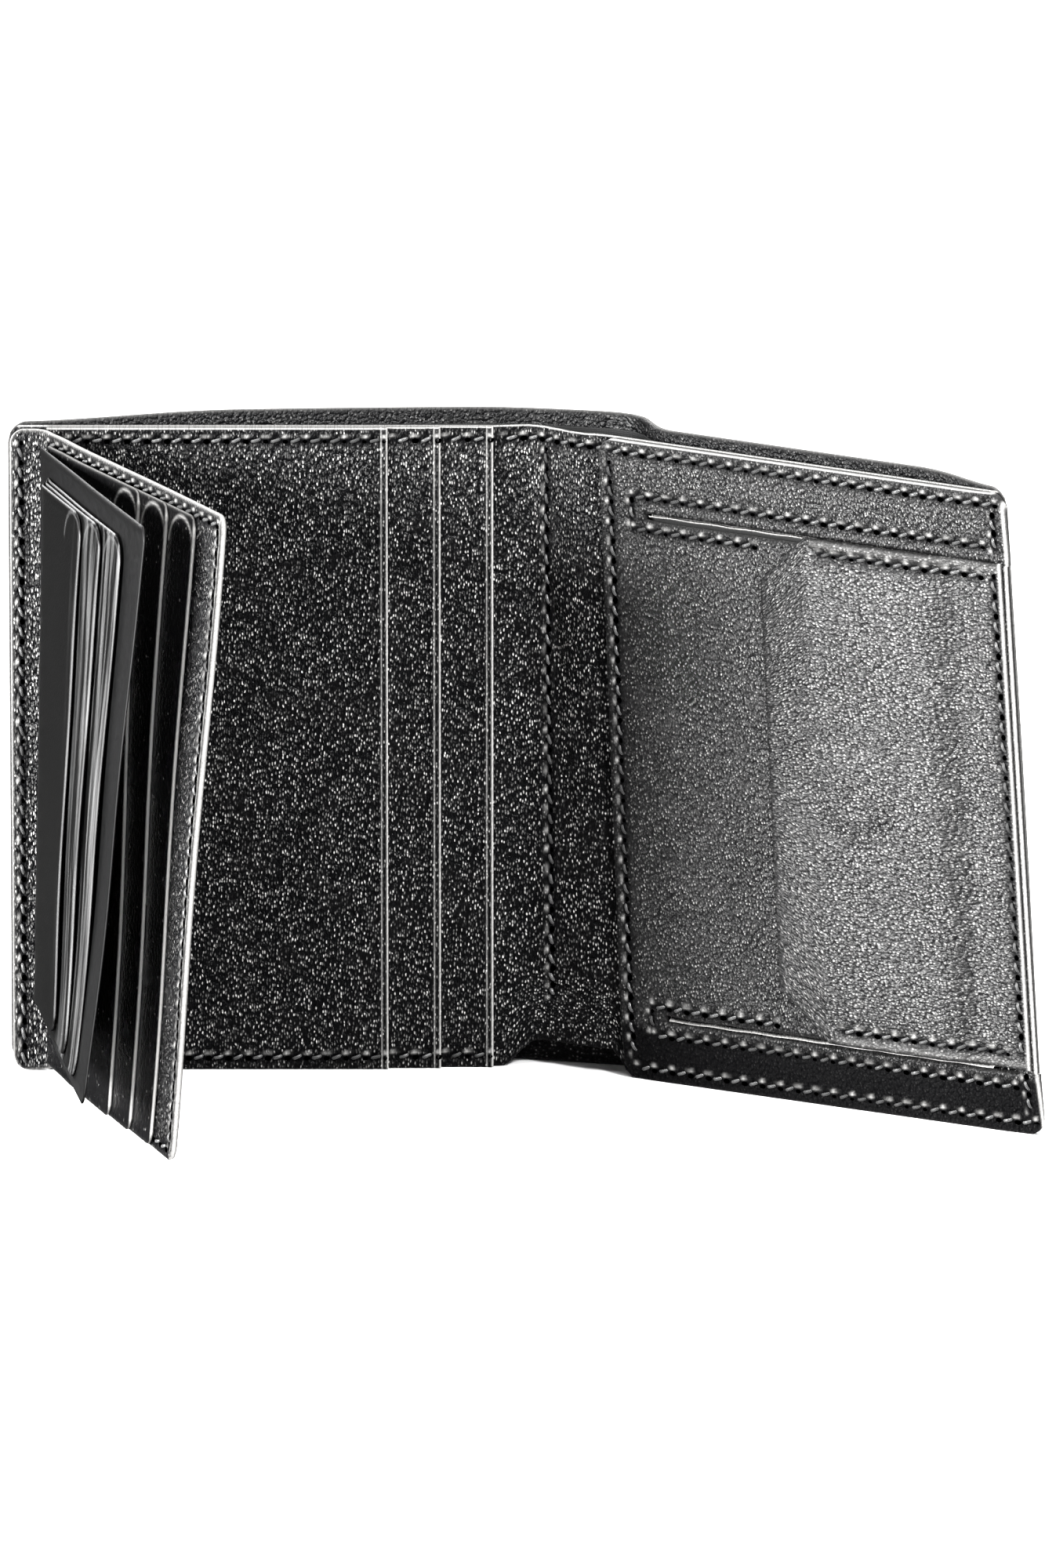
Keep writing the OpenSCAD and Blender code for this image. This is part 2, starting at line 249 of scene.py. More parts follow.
def leather(
    name, us, vs, front, back, put, material,
    cuts=(), corner=0.0, rim=0.5, sides="lrbt", rows=(), worn=1.0, painted_highlights=None, painted_shade=None,
):
    """A closed thin sheet over the grid us by vs. front and back give its faces' depth, cuts are boxes
    left open, sides are the edges that are rounded, and rows are rows of stitches. worn says how light
    its worn edges are. The two optional functions of the grid after it give painted highlight lines,
    and painted shade, where the face is made darker and matt."""
    U, V = np.meshgrid(us, vs, indexing="ij")
    u0, u1, v0, v1 = us[0], us[-1], vs[0], vs[-1]
    near = np.maximum(corner - np.minimum(V - v0, v1 - V), 0)
    inset = corner - np.sqrt(np.maximum(corner**2 - near**2, 0))
    if corner:
        if "l" in sides:
            U = U + inset * np.clip(1 - (U - u0) / (3 * corner), 0, 1)
        if "r" in sides:
            U = U - inset * np.clip(1 - (u1 - U) / (3 * corner), 0, 1)
    far = np.full(U.shape, 99.0)
    for side, d in (("l", U - u0 - inset), ("r", u1 - inset - U), ("b", V - v0), ("t", v1 - V)):
        if side in sides:
            far = np.minimum(far, d)
    keep = np.ones((len(us) - 1, len(vs) - 1), bool)
    cu, cv = (us[1:] + us[:-1]) / 2, (vs[1:] + vs[:-1]) / 2
    for a, b, c, d in cuts:
        keep &= ~(((cu > a) & (cu < b))[:, None] & ((cv > c) & (cv < d))[None, :])
        du = np.maximum(np.maximum(a - U, U - b), 0)
        dv = np.maximum(np.maximum(c - V, V - d), 0)
        far = np.minimum(far, np.hypot(du, dv))
    pulled, channel, painted_pucker_glints = sewn(U, V, rows)
    F = front(U, V) - pulled
    B = back(U, V)
    k = np.clip(far / rim, 0, 1)
    drop = (F - B) / 2 * 0.9 * (1 - np.sqrt(np.maximum(1 - (1 - k) ** 2, 0)))
    F, B = F - drop, B + drop
    nu, nv = U.shape
    points = np.concatenate([put(U, V, F).reshape(-1, 3), put(U, V, B).reshape(-1, 3)])
    flat = np.concatenate([np.stack([U, V], -1).reshape(-1, 2)] * 2)
    # The edge attribute: worn edges, painted highlights on the stitch puckers, and the painted
    # highlight lines passed in.
    light = np.maximum(worn * np.exp(-far / 0.25), painted_pucker_glints)
    if painted_highlights is not None:
        light = np.maximum(light, painted_highlights(U, V))
    edge = np.concatenate([light.ravel()] * 2)
    # Where the face is made darker and matt: the stitch channels, near the edges, and the painted
    # shade passed in.
    quiet_and_painted_shade = np.maximum(channel, np.exp(-far / 0.6))
    if painted_shade is not None:
        quiet_and_painted_shade = np.maximum(quiet_and_painted_shade, painted_shade(U, V))
    calm = np.concatenate([quiet_and_painted_shade.ravel()] * 2)
    back_of = nu * nv
    i, j = np.nonzero(keep)
    a = i * nv + j
    quads = [
        np.stack([a, a + nv, a + nv + 1, a + 1], 1),
        np.stack([a, a + 1, a + nv + 1, a + nv], 1) + back_of,
    ]
    pad = np.zeros((nu + 1, nv + 1), bool)
    pad[1:-1, 1:-1] = keep
    for di, dj, p, q in ((0, -1, 0, nv), (0, 1, nv + 1, 1), (-1, 0, 1, 0), (1, 0, nv, nv + 1)):
        edge_cells = keep & ~pad[1 + di : nu + di, 1 + dj : nv + dj]
        i, j = np.nonzero(edge_cells)
        a = i * nv + j
        quads.append(np.stack([a + p, a + p + back_of, a + q + back_of, a + q], 1))
    quads = np.concatenate(quads)
    used, index = np.unique(quads, return_inverse=True)
    faces = index.reshape(-1, 4).tolist()
    return build(name, points[used], faces, flat[used], material, edge[used], calm[used])


def sewn(U, V, rows):
    """What rows of stitches do to leather: how far it is pulled in, where its grain is pressed smooth,
    and the painted highlights on the puckers between the stitches."""
    pulled, channel, painted_pucker_glints = np.zeros(U.shape), np.zeros(U.shape), np.zeros(U.shape)
    for (a, b), (c, d) in rows:
        long = math.hypot(c - a, d - b)
        eu, ev = (c - a) / long, (d - b) / long
        x = (U - a) * eu + (V - b) * ev
        y = (V - b) * eu - (U - a) * ev
        n = max(1, round(long / PITCH))
        ends = smooth(x + 0.8) * smooth(long + 0.8 - x)
        under = 0.5 - 0.5 * np.cos(2 * np.pi * x * n / long)
        pulled += ends * (bump(y, 0, 1.0) * 0.12 + bump(y, 0, 0.5) * (0.26 * under - 0.12))
        channel = np.maximum(channel, ends * bump(y, 0, 0.9))
        # Painted highlight: light base colour on the puckers between the stitches.
        painted_pucker_glints = np.maximum(painted_pucker_glints, ends * bump(y, 0.62, 0.3) * (1 - under) ** 3)
    return pulled, channel, painted_pucker_glints


def painted_rim_highlight(d):
    """A painted highlight: the thin bright line along an edge's corner, d from the edge."""
    return bump(d, 0.12, 0.1)


def stitches(name, groups, put, material):
    """Rows of separate stitches, with dark discs of painted shade at the needle punctures between
    them. groups holds pairs of rows and the depth of the leather's face."""
    points, faces, flat, tone_and_hole_shades = [], [], [], []
    rings, around = 7, 6
    for rows, face in groups:
        for (a, b), (c, d) in rows:
            long = math.hypot(c - a, d - b)
            e = np.array([c - a, d - b]) / long
            side = np.array([-e[1], e[0]])
            n = max(1, round(long / PITCH))
            for i in range(n):
                m = np.array([a, b]) + e * long * (i + 0.5) / n
                tilt = SLANT + 0.09 * math.sin(i * 2.3 + a)
                run = e * math.cos(tilt) + side * math.sin(tilt)
                cross = np.array([-run[1], run[0]])
                chance = math.sin(i * 12.9 + a * 7.1 + b * 3.7)
                shade = 0.3 - 0.3 * chance
                first = len(points)
                for x in np.linspace(-1, 1, rings):
                    p = m + run * x * STITCH
                    t0 = face(np.array(p[0]), np.array(p[1])) - 0.12 + 0.24 * (1 - 1.6 * x * x)
                    r = THREAD * math.sqrt(max(1 - abs(x) ** 5, 0.12))
                    for q in range(around):
                        w = 2 * math.pi * q / around
                        pp = p + cross * r * math.cos(w)
                        points.append(put(pp[0], pp[1], t0 + r * 0.8 * math.sin(w)))
                        flat.append((x, q / around))
                        tone_and_hole_shades.append(shade)
                for x in range(rings - 1):
                    for q in range(around):
                        f = first + x * around
                        g = (q + 1) % around
                        faces.append((f + q, f + around + q, f + around + g, f + g))
                faces.append(tuple(first + q for q in range(around)))
                last = first + (rings - 1) * around
                faces.append(tuple(last + around - 1 - q for q in range(around)))
                first = len(points)
                # Each needle puncture gets a dark disc sunk below the leather's face: painted shade.
                middle = np.array([a, b]) + e * (long * (i + 1) / n + 0.1 * chance) - side * 0.15
                for k, t in enumerate((0.05, -0.3)):
                    for q in range(8):
                        w = 2 * math.pi * q / 8
                        out = e * HOLE[0] * math.cos(w) + side * HOLE[1] * math.sin(w)
                        pp = middle + out * (1 + 0.25 * chance)
                        depth = face(np.array(pp[0]), np.array(pp[1])) + t
                        points.append(put(pp[0], pp[1], depth))
                        flat.append((q / 8, k))
                        tone_and_hole_shades.append(1.0)
                faces.append(tuple(first + q for q in range(8)))
                faces.append(tuple(first + 15 - q for q in range(8)))
                for q in range(8):
                    g = (q + 1) % 8
                    faces.append((first + q, first + 8 + q, first + 8 + g, first + g))
    return build(name, np.array(points), faces, flat, material, tone_and_hole_shades)


# ---------------------------------------------------------------- materials


class Shader:
    """A node material, built by short calls."""

    def __init__(self, name):
        self.m = bpy.data.materials.new(name)
        self.m.use_nodes = True
        self.tree = self.m.node_tree
        self.bsdf = self.tree.nodes["Principled BSDF"]

    def add(self, kind, sockets=None, **settings):
        n = self.tree.nodes.new("ShaderNode" + kind)
        for key, value in settings.items():
            setattr(n, key, value)
        for key, value in (sockets or {}).items():
            n.inputs[key].default_value = value
        return n

    def link(self, a, b, out=0, into=0):
        self.tree.links.new(a.outputs[out], b.inputs[into])

    def math(self, op, a, b=None, out_a=0, out_b=0):
        n = self.add("Math", operation=op)
        for k, (x, o) in enumerate(((a, out_a), (b, out_b))):
            if x is None:
                continue
            if isinstance(x, (int, float)):
                n.inputs[k].default_value = x
            else:
                self.link(x, n, o, k)
        return n

    def ramp(self, source, stops):
        n = self.add("ValToRGB")
        self.link(source, n)
        e = n.color_ramp.elements
        while len(e) < len(stops):
            e.new(0.5)
        for x, (pos, col) in zip(e, stops):
            x.position = pos
            x.color = (*col, 1) if hasattr(col, "__len__") else (col, col, col, 1)
        return n

    def noise(self, source, scale, detail=3, out=0):
        n = self.add("TexNoise", {"Scale": scale, "Detail": detail})
        self.link(source, n, out)
        return n

    def flat(self, **sockets):
        """The piece's own flat coordinates in millimetres: as they are, and turned or scaled."""
        uv = self.add("UVMap", uv_map="Flat")
        fit = self.add("Mapping", sockets, vector_type="POINT")
        self.link(uv, fit)
        return uv, fit

    def attribute(self, name):
        return self.add("Attribute", attribute_name=name)

    def dent(self, height, distance, strength=1.0):
        n = self.add("Bump", {"Distance": distance, "Strength": strength})
        self.link(height, n, 0, "Height")
        self.link(n, self.bsdf, 0, "Normal")

    def set(self, **values):
        for key, value in values.items():
            self.bsdf.inputs[key.replace("_", " ")].default_value = value


def leather_material(
    name, cell=(0.36, 0.8), depth=0.00024, rough=(0.2, 0.32), color=0.0006, wear=0.45,
    tilt=0.12, painted_sparkle=0.66, share=0.8, spot=(0.08, 0.34), shine=0.27,
):
    """Black grained leather: domed pebbles of cell millimetres with fine creases between them, worn
    lighter along its edges. The edge attribute also carries painted highlight lines, and the second
    attribute adds painted shade, where the face is made darker and matt. share of the pebbles get a
    painted sparkle: a light spot in the base colour that stands in for a highlight. The pebble crowns
    are also lighter and the creases darker in the base colour: painted shading of the grain."""
    s = Shader(name)
    uv, fit = s.flat(Rotation=(0, 0, tilt), Scale=(1 / cell[0], 1 / cell[1], 1))
    warp = s.noise(fit, 0.45)
    push = s.add("VectorMath", {1: (1.0, 1.0, 0)}, operation="MULTIPLY_ADD")
    s.link(warp, push, "Color", 0)
    s.link(fit, push, 0, 2)
    pebble = s.add(
        "TexVoronoi", {"Scale": 1.0, "Smoothness": 0.25}, feature="SMOOTH_F1", voronoi_dimensions="2D"
    )
    small = s.add("TexVoronoi", {"Scale": 2.1}, feature="F1", voronoi_dimensions="2D")
    cells = s.add("TexVoronoi", {"Scale": 1.0}, feature="F1", voronoi_dimensions="2D")
    for layer in (pebble, small, cells):
        s.link(push, layer)
    broad = s.noise(uv, 0.1)
    fine = s.noise(fit, 3.2)
    dome = s.ramp(pebble, [(0.0, 1.0), (0.35, 0.86), (0.6, 0.5), (0.85, 0.0)])
    grit = s.ramp(small, [(0.0, 1.0), (0.8, 0.0)])
    body = s.math("ADD", s.math("MULTIPLY", dome, 0.62), s.math("MULTIPLY", grit, 0.24))
    height = s.math("ADD", body, s.math("MULTIPLY", fine, 0.22))
    s.dent(height, depth)
    # The edge attribute holds the edges' wear and painted highlight lines, so this adds both to the
    # base colour.
    worn = s.math("MULTIPLY", s.math("POWER", s.attribute("edge"), 2.0, "Fac"), wear)
    lottery = s.add("SeparateColor")
    s.link(cells, lottery, "Color")
    # This attribute takes base colour and specular away: it holds the pressed stitch channels, the
    # edges and painted shade.
    matt_and_shade_node = s.attribute("calm")
    grained = s.math("SUBTRACT", 1.0, matt_and_shade_node, out_b="Fac")
    # Painted sparkles: light spots in the base colour on a share of the pebbles, standing in for
    # highlights, kept off the stitch channels.
    tip = s.ramp(cells, [(spot[0], 1.0), (spot[1], 0.0)])
    chosen = s.ramp(lottery, [(1 - share, 0.0), (1 - share / 3, 0.24), (1.0, 1.0)])
    painted_sparkles = s.math("MULTIPLY", s.math("MULTIPLY", s.math("MULTIPLY", chosen, tip), grained), painted_sparkle)
    depth_left = s.math("SUBTRACT", color, s.math("MULTIPLY", matt_and_shade_node, 0.85 * color, "Fac"))
    # Painted shading of the grain: the pebble crowns lighter and the creases darker in the base
    # colour, with a broad random tone.
    under = s.math("MULTIPLY", s.math("ADD", dome, broad), depth_left)
    tone = s.math("ADD", worn, s.math("ADD", painted_sparkles, under))
    colour = s.ramp(tone, [(0.0, (0.0015, 0.0015, 0.0018)), (1.0, (1.0, 0.985, 0.96))])
    s.link(colour, s.bsdf, 0, "Base Color")
    ends = {"From Min": 0.3, "From Max": 0.7, "To Min": rough[0], "To Max": rough[1]}
    gloss = s.add("MapRange", ends)
    s.link(broad, gloss, 0, "Value")
    s.link(s.math("ADD", s.math("MULTIPLY", matt_and_shade_node, 0.2, "Fac"), gloss), s.bsdf, 0, "Roughness")
    glossy = s.math("SUBTRACT", 1.0, s.math("MULTIPLY", matt_and_shade_node, 0.98, "Fac"))
    s.link(s.math("MULTIPLY", glossy, shine), s.bsdf, 0, "Specular IOR Level")
    return s.m


def plain_material(name, color, rough, scale, depth, metallic=0.0, spread=0.25, specular=0.5):
    """A simple finish with some unevenness of its own."""
    s = Shader(name)
    speck = s.noise(s.add("TexCoord"), scale, out="Object")
    dark = [c * (1 - spread) for c in color]
    light = [min(1, c * (1 + spread)) for c in color]
    s.link(s.ramp(speck, [(0.3, dark), (0.7, light)]), s.bsdf, 0, "Base Color")
    r = s.add("MapRange", {"To Min": rough * 0.8, "To Max": min(1, rough * 1.2)})
    s.link(speck, r, 0, "Value")
    s.link(r, s.bsdf, 0, "Roughness")
    s.dent(speck, 0.00005, depth)
    s.set(Metallic=metallic, Specular_IOR_Level=specular)
    return s.m


def thread_material(name):
    """Glossy thread, and the painted shade of the needle punctures that it goes through."""
    s = Shader(name)
    # The attribute holds each stitch's random tone, and 1 on the needle punctures, which are painted
    # shade: black and matt.
    tone_and_hole_shade = s.attribute("edge")
    twist = s.add("TexWave", {"Scale": 1.4}, wave_type="BANDS", bands_direction="X")
    s.link(s.flat(Rotation=(0, 0, 0.6))[1], twist)
    shown = s.math("SUBTRACT", 1.0, tone_and_hole_shade, out_b="Fac")
    turns = s.ramp(twist, [(0.0, 0.03), (1.0, 0.12)])
    s.link(s.math("MULTIPLY", turns, shown), s.bsdf, 0, "Base Color")
    s.link(s.math("MULTIPLY", shown, 0.6), s.bsdf, 0, "Specular IOR Level")
    s.link(s.math("ADD", s.math("MULTIPLY", tone_and_hole_shade, 0.6, "Fac"), 0.3), s.bsdf, 0, "Roughness")
    return s.m


def cloth_material(name):
    """A plain weave of fine threads."""
    s = Shader(name)
    uv = s.add("UVMap", uv_map="Flat")
    waves = []
    for direction in ("X", "Y"):
        sockets = {"Scale": 1.1, "Distortion": 0.4}
        waves.append(s.add("TexWave", sockets, wave_type="BANDS", bands_direction=direction))
        s.link(uv, waves[-1])
    weave = s.math("MULTIPLY", waves[0], waves[1], "Fac", "Fac")
    s.link(s.ramp(weave, [(0.0, 0.003), (1.0, 0.014)]), s.bsdf, 0, "Base Color")
    s.dent(weave, 0.00008, 0.6)
    s.set(Roughness=0.75, Sheen_Weight=0.05, Sheen_Roughness=0.4)
    return s.m


def film_material(name):
    """Film on a dark page: nearly black where it is flat, with milky streaks, paler welds and painted
    highlight lines.
    """
    s = Shader(name)
    uv, fit = s.flat(Scale=(0.5, 0.03, 1))
    streak = s.noise(fit, 1.0, detail=4)
    speck = s.noise(uv, 2.5)
    across = s.add("SeparateXYZ")
    s.link(uv, across)
    outer = s.add("MapRange", {"From Min": 29, "From Max": 40})
    s.link(across, outer, 0, "Value")
    milk = s.math("MULTIPLY", s.ramp(streak, [(0.45, 0.0), (0.72, 0.4)]), outer)
    # The edge attribute holds the film's edges, painted sheen round the window heads and painted
    # highlights along the mouths, all made paler here.
    weld = s.math("MULTIPLY", s.math("POWER", s.attribute("edge"), 2.0, "Fac"), 0.05)
    pale = s.math("ADD", s.math("MULTIPLY", milk, 0.3), weld)
    s.link(s.math("ADD", pale, 0.0019), s.bsdf, 0, "Base Color")
    s.dent(speck, 0.00006, 0.5)
    s.set(Roughness=0.35, Specular_IOR_Level=0.22)
    return s.m


LEATHER = leather_material("inner_leather")
STRIP_LEATHER = leather_material(
    "leaf_strip_grain", cell=(0.34, 0.85), tilt=0.0, painted_sparkle=0.9, share=0.9, color=0.0005, shine=0.25
)
LEAF_LEATHER = leather_material("leaf_grain", painted_sparkle=0.3, share=0.6, color=0.0005, shine=0.25)
# The coin panel's and the flap's leather are lighter copies of the same black leather with their own
# grain: their higher base colour is painted sheen, standing in for the key light's sheen on them.
COIN_LEATHER_PAINTED_SHEEN = leather_material(
    "coin_panel_grain_painted_sheen", cell=(0.42, 0.6), color=0.008, tilt=-0.5, painted_sparkle=0.3, share=0.9, shine=0.46
)
FLAP_LEATHER_PAINTED_SHEEN = leather_material(
    "coin_flap_grain_painted_sheen", cell=(0.6, 0.4), depth=0.0002, color=0.009, tilt=-0.1, painted_sparkle=0.3, share=0.9,
    spot=(0.1, 0.42), shine=0.46,
)
COVER = leather_material(
    "cover_leather", cell=(0.5, 0.55), rough=(0.24, 0.38), wear=0.3, painted_sparkle=0.16
)
SMOOTH = leather_material(
    "smooth_leather", cell=(0.7, 0.9), depth=0.00007, rough=(0.2, 0.3), color=0.002, wear=0.3,
    painted_sparkle=0.12, share=0.15,
)
CLOTH = cloth_material("lining_cloth")
THREAD_MAT = thread_material("thread")
METAL = plain_material("snap_metal", (0.62, 0.61, 0.58), 0.28, 900, 0.2, metallic=1.0)
BOARD = plain_material("board", (0.06, 0.055, 0.05), 0.8, 1200, 0.5)
FILM = film_material("clear_film")
PAGE = plain_material("page_backing", (0.002, 0.002, 0.0021), 0.5, 900, 0.15, specular=0.2)

# ---------------------------------------------------------------- cover and linings
COVER_END = S3 - 1.0
COVER_ROW = 2.0


def over_cover(s, v):
    """Depth of the middle of the cover. It is sewn to the inner panels along the left edge and the
    foot, and stands away from them at the head."""
    shut_left = 1 - smooth(np.clip(s / 74, 0, 1) ** 0.75)
    shut_foot = (1 - smooth(v / 32)) * (1 - smooth((s - 64) / 9))
    main = 4.2 * (1 - (1 - shut_left) * (1 - shut_foot))
    head = v / COVER_H
    spine = (0.5 - 2.3 * head) * smooth((s - 68) / 22)
    near = smooth((s - (S2 - 1)) / 11.5)
    belly = 0.9 * np.sin(np.pi * np.clip(head, 0, 1)) * smooth((s - 96) / 12)
    belly = belly * (1 - smooth((s - 146) / 14))
    coin = 4.85 - belly + 1.2 * smooth((s - S3 + 14) / 12)
    return (main + spine) * (1 - near) + coin * near


def on_cover(s, v, t):
    """Towards both ends the cover's head comes down to the inner panels' head."""
    s, v = np.asarray(s, float), np.asarray(v, float)
    ends = 1.3 * (1 - smooth(s / 34)) + 1.1 * smooth((s - COVER_END + 16) / 15)
    return place(s, v - ends * smooth((v - 70) / 29), t)


def cover_front(s, v):
    return over_cover(s, v) + 0.5


def cover_back(s, v):
    ripple = 0.12 * np.sin(s / 9.0 + v / 23.0) + 0.08 * np.sin(v / 11.0 - s / 17.0)
    return over_cover(s, v) - 0.5 - ripple * smooth((v - 4) / 8) * smooth((COVER_H - 4 - v) / 8)


cover_rows_left = [
    ((COVER_ROW, COVER_ROW), (68.0, COVER_ROW)),
    ((COVER_ROW, 3.5), (COVER_ROW, 96.0)),
]
cover_rows_right = [
    ((S2 + 3, COVER_ROW), (S3 - 2.2, COVER_ROW)),
    ((S3 - COVER_ROW, 3.5), (S3 - COVER_ROW, 95.0)),
]
vs = grid(0, COVER_H, 1.6, fine=(COVER_ROW,))
cover_left = leather(
    "cover_left", grid(0, MID, 1.6, fine=(COVER_ROW,)), vs, cover_front,
    lambda s, v: cover_back(s, v) + sewn(s, v, cover_rows_left)[0],
    on_cover, COVER, corner=3.0, sides="lbt", worn=0.6,
)
cover_right = leather(
    "cover_right", grid(MID, COVER_END, 1.2, fine=(S3 - COVER_ROW,)), vs, cover_front,
    lambda s, v: cover_back(s, v) + sewn(s, v, cover_rows_right)[0],
    on_cover, COVER, corner=3.0, sides="rbt", worn=0.6,
)

LINING_V = (3.6, 96.6)
LINING_S = (3.2, S3 - 3.4)


def on_lining(s, v):
    return cover_front(s, v) + 0.12


def lining(name, s0, s1, sides):
    """A thin cloth that lies on the cover's inside."""
    return leather(
        name, grid(s0, s1, 2.0, ends=False), grid(*LINING_V, 2.0, ends=False),
        lambda s, v: on_lining(s, v) + 0.1, lambda s, v: on_lining(s, v) - 0.1,
        place, CLOTH, rim=0.1, sides=sides,
    )


lining_left = lining("bill_lining_left", LINING_S[0], MID, "lbt")
lining_right = lining("bill_lining_right", MID, LINING_S[1], "rbt")

# ---------------------------------------------------------------- inner panels


def liner_mid(s, v):
    """Depth of the middle of the inner panels' base leather, which slackens over the spine."""
    rise = smooth((s - S1 - 4) / (S2 - S1 - 6))
    slack = 1.9 * np.sin(np.pi * np.clip((s - S1 + 1) / (S2 - S1 - 1), 0, 1) ** 0.8) ** 2
    return (PANEL_FRONT - 0.35) * (1 - rise) + 6.65 * rise - slack


def liner_wrinkles(s, v):
    here = smooth((s - S1) / 4) * smooth((S2 + 2 - s) / 4)
    return here * (
        0.22 * np.sin((s * 0.9 + v * 0.35) * 0.9) * bump(v, 74, 26)
        + 0.18 * np.sin((s * 1.0 - v * 0.22) * 1.1 + 1.0) * bump(v, 22, 20)
        + 0.1 * np.sin(s * 1.9 + v * 0.11)
    )


def liner_foot(s, v):
    """The liner's lower edge rises over the spine, where it isn't sewn to the cover."""
    over_spine = smooth((s - S1 - 0.5) / 5) * smooth((S2 + 1 - s) / 3)
    return v + 4.0 * over_spine * (1 - smooth(v / 16))


FOOT_ROW = 1.9
TOP_ROW = INNER_H - FOOT_ROW
SPINE_ROW = S1 + 7.6
liner_rows = [
    ((S1 + 0.5, TOP_ROW), (S2 + 1.5, TOP_ROW)),
    ((SPINE_ROW, 9.0), (SPINE_ROW, TOP_ROW - 1.5)),
]


def on_liner(s, v, t):
    return place(s, liner_foot(s, v), t)


def liner_front(s, v):
    return liner_mid(s, v) + 0.35 + liner_wrinkles(s, v)


def liner_back(s, v):
    return liner_mid(s, v) - 0.35


liner_vs = grid(0.0, INNER_H, 0.9, fine=(TOP_ROW,))
liner_left = leather(
    "inner_panel_left", grid(0.3, MID, 0.9, fine=(SPINE_ROW,)), liner_vs,
    liner_front, liner_back, on_liner, LEATHER, corner=2.0, sides="lbt", rows=liner_rows, worn=0.2,
    painted_highlights=lambda s, v: painted_rim_highlight(INNER_H - v),
)
liner_right = leather(
    "inner_panel_right", grid(MID, S3 - 0.9, 0.9), liner_vs,
    liner_front, liner_back, on_liner, LEATHER, corner=2.0, sides="rbt", rows=liner_rows, worn=0.2,
    painted_highlights=lambda s, v: painted_rim_highlight(INNER_H - v),
)
spine_stitching = stitches("spine_stitching", [(liner_rows, liner_front)], on_liner, THREAD_MAT)

# Card pockets: three layers, each shorter than the one behind it.
POCKETS = ("card_pocket_back", "card_pocket_middle", "card_pocket_front")
MOUTHS = [high(name)[0] - X0 for name in POCKETS]
POCKET_0 = low("card_pocket_back")[0] - X0


def turned_mouth(u, mouth):
    """A pocket's mouth: a rolled edge, a fine line beside it and the crease of the turned hem."""
    d = mouth - u
    rolled = 0.10 * bump(d, 0.45, 0.35) - 0.10 * bump(d, 0.95, 0.14)
    crease = 0.05 * bump(d, 2.5, 0.5) - 0.16 * bump(d, 1.9, 0.28)
    return rolled + crease


stitch_groups = []


def painted_mouth_highlights(d):
    """Painted highlights: the light lines beside a pocket's mouth, d from it."""
    return np.maximum(0.75 * bump(d, 0.95, 0.12), bump(d, 0.05, 0.22))


for k, name in enumerate(POCKETS):
    mouth = MOUTHS[k]
    t0 = PANEL_FRONT + 0.02 + k * LAYER
    left = POCKET_0 - 0.4 if k == 2 else MOUTHS[k + 1] + 0.6
    rows = [((left, v), (mouth - 0.4, v)) for v in (TOP_ROW, FOOT_ROW)]

    def face(u, v, t0=t0, mouth=mouth, k=k):
        swell = np.sin(np.pi * np.clip(v / INNER_H, 0, 1)) ** 0.6 * smooth((mouth - u) / 14)
        swell = 0.35 * swell * (0.6 + 0.2 * k)
        return t0 + LAYER - 0.02 + 0.15 * swell + turned_mouth(u, mouth)

    stitch_groups.append((rows, lambda u, v, face=face: face(u, v) - 0.03))
    piece = leather(
        name + "_skin", grid(POCKET_0 - 0.5, mouth, 0.8, fine=(mouth - 0.95, mouth - 1.9)),
        grid(0.0, INNER_H, 0.8, fine=(FOOT_ROW, TOP_ROW)),
        face, lambda u, v, t0=t0: t0 + 0 * u, place, LEATHER, rim=0.35, rows=rows, worn=0.2,
        painted_highlights=lambda u, v, m=mouth: np.maximum(painted_mouth_highlights(m - u), painted_rim_highlight(INNER_H - v)),
    )
    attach(piece, "main_panel")
    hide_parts(name)

pocket_stitching = stitches("card_pocket_stitching", stitch_groups, place, THREAD_MAT)

# ---------------------------------------------------------------- leaf and sleeve page
LEAF_W = 64.0
LEAF_FOOT = low("leaf_backing")[2]
STRIP_T = 8.35
TURN = LEAF_ANGLE
TURN_R = 2.6
rise = TURN_R * (1 - math.cos(TURN))
leaf_t = -LEAF_AXIS[1]
start_r = (STRIP_T + rise - leaf_t) / math.sin(TURN)
hinge_u = LEAF_AXIS[0] - X0
turn_u = hinge_u + start_r * math.cos(TURN) - TURN_R * math.sin(TURN)
ARC = TURN_R * TURN
STRIP_L = turn_u - 0.4
SKIN_L = STRIP_L + ARC + LEAF_W - start_r


def on_skin(q, v, n):
    """The leaf's leather: q runs along the sewn strip, round the turn and out along the leaf."""
    q, v, n = arrays(q, v, n)
    flat_part = place(0.4 + np.minimum(q, STRIP_L), v, STRIP_T + n)
    a = np.clip((q - STRIP_L) / TURN_R, 0, TURN)
    x = turn_u + TURN_R * np.sin(a) - n * np.sin(a)
    t = STRIP_T + TURN_R * (1 - np.cos(a)) + n * np.cos(a)
    turned = np.stack([x + X0, -t, v], -1)
    r = start_r + (q - STRIP_L - ARC)
    base = np.where((q > STRIP_L)[..., None], turned, flat_part)
    base = np.where((q > STRIP_L + ARC)[..., None], on_flat_leaf(r, v, n), base)
    out = smooth((q - STRIP_L - ARC + 1.2) / 6)[..., None]
    return base * (1 - out) + on_leaf(r, v, n) * out


